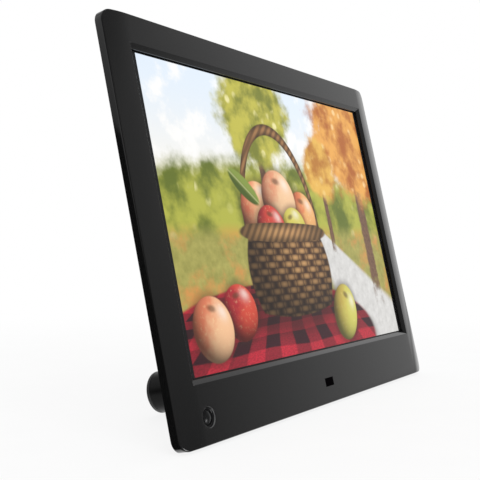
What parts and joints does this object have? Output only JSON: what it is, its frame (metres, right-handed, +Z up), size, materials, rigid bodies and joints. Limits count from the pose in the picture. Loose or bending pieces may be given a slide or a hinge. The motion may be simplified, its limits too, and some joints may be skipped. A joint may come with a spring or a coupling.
{
  "type": "digital photo frame",
  "caption": "Landscape digital photo frame: display in a black bezel, sloped rear cover with ports and buttons, motion lens, remote window and screw-in rear leg.",
  "frame": {"origin": "middle of the bounding box on the surface that the frame stands on", "axes": "+X to the viewer's right across the screen, +Y away from the viewer behind the frame, +Z up; the frame leans back about X"},
  "size_m": [0.246, 0.0619, 0.1726],
  "materials": {
    "bezel_black": "satin black",
    "cover_black": "fine-textured black",
    "key_black": "smooth black",
    "leg_black": "polished black",
    "rubber_black": "matte black",
    "smoked_window": "smoked, infrared-clear",
    "motion_lens": "smoked lens",
    "screen_glass": "coated glass",
    "clear_guide": "clear acrylic",
    "white_film": "white film",
    "white_plastic": "white moulding",
    "foam": "closed-cell foam",
    "steel": "plated",
    "brass": "turned",
    "circuit_board": "green solder mask",
    "chip_black": "moulded epoxy",
    "ribbon_amber": "polyimide film"
  },
  "bodies": {
    "frame": {"front_bezel": "bezel_black", "ir_window": "smoked_window", "motion_lens": "motion_lens", "panel_gasket": "foam", "lcd_glass": "screen_glass", "light_films": "white_film", "light_guide": "clear_guide", "reflector_sheet": "white_film", "led_strip": "white_plastic", "panel_frame": "white_plastic", "panel_tray": "steel", "panel_clips": "steel", "clip_screws": "steel", "display_ribbon": "ribbon_amber", "board_pillars": "brass", "main_board": "circuit_board", "board_screws": "steel", "processor": "chip_black", "memory_chips": "chip_black", "power_parts": "steel", "ribbon_connector": "white_plastic", "usb_socket": "steel", "card_slot": "steel", "power_inlet": "chip_black", "earphone_jack": "chip_black", "speaker_frames": "chip_black", "speaker_magnets": "steel", "ir_receiver": "chip_black", "ir_board": "circuit_board", "motion_sensor": "steel", "motion_board": "circuit_board", "sensor_screws": "steel", "key_board": "circuit_board", "key_cable": "white_plastic", "push_switches": "chip_black", "key_board_screws": "steel", "rear_cover": "cover_black", "cover_screws": "steel", "leg_insert": "brass", "portrait_insert": "brass"},
    "washer": {"leg_washer": "rubber_black"},
    "leg": {"leg_stud": "steel", "leg_tube": "leg_black", "leg_foot": "rubber_black"},
    "power_key": {"power_button": "key_black"},
    "up_key": {"up_button": "key_black"},
    "exit_key": {"exit_button": "key_black"},
    "left_key": {"left_button": "key_black"},
    "ok_key": {"ok_button": "key_black"},
    "right_key": {"right_button": "key_black"},
    "menu_key": {"menu_button": "key_black"},
    "down_key": {"down_button": "key_black"}
  },
  "joints": [
    {"name": "leg_travel", "type": "slide", "parent": "frame", "child": "washer", "axis": [0, 0.9746, -0.2242], "range_m": [0, 0.008]},
    {"name": "leg_turn", "type": "hinge", "parent": "washer", "child": "leg", "pos_m": [-0.06, -0.00532, 0.01725], "axis": [0, 0.9746, -0.2242], "range_deg": [0, 1440]},
    {"name": "power_press", "type": "slide", "parent": "frame", "child": "power_key", "axis": [0, -0.9746, 0.2242], "range_m": [0, 0.0005], "stiffness_N_per_m": 800, "springref_m": -0.0005},
    {"name": "up_press", "type": "slide", "parent": "frame", "child": "up_key", "axis": [0, -0.9746, 0.2242], "range_m": [0, 0.0005], "stiffness_N_per_m": 800, "springref_m": -0.0005},
    {"name": "exit_press", "type": "slide", "parent": "frame", "child": "exit_key", "axis": [0, -0.9746, 0.2242], "range_m": [0, 0.0005], "stiffness_N_per_m": 800, "springref_m": -0.0005},
    {"name": "left_press", "type": "slide", "parent": "frame", "child": "left_key", "axis": [0, -0.9746, 0.2242], "range_m": [0, 0.0005], "stiffness_N_per_m": 800, "springref_m": -0.0005},
    {"name": "ok_press", "type": "slide", "parent": "frame", "child": "ok_key", "axis": [0, -0.9746, 0.2242], "range_m": [0, 0.0005], "stiffness_N_per_m": 800, "springref_m": -0.0005},
    {"name": "right_press", "type": "slide", "parent": "frame", "child": "right_key", "axis": [0, -0.9746, 0.2242], "range_m": [0, 0.0005], "stiffness_N_per_m": 800, "springref_m": -0.0005},
    {"name": "menu_press", "type": "slide", "parent": "frame", "child": "menu_key", "axis": [0, -0.9746, 0.2242], "range_m": [0, 0.0005], "stiffness_N_per_m": 800, "springref_m": -0.0005},
    {"name": "down_press", "type": "slide", "parent": "frame", "child": "down_key", "axis": [0, -0.9746, 0.2242], "range_m": [0, 0.0005], "stiffness_N_per_m": 800, "springref_m": -0.0005}
  ],
  "couplings": [
    {"joint": "leg_turn", "follows": "leg_travel", "rad_per_m": 3141.6}
  ]
}
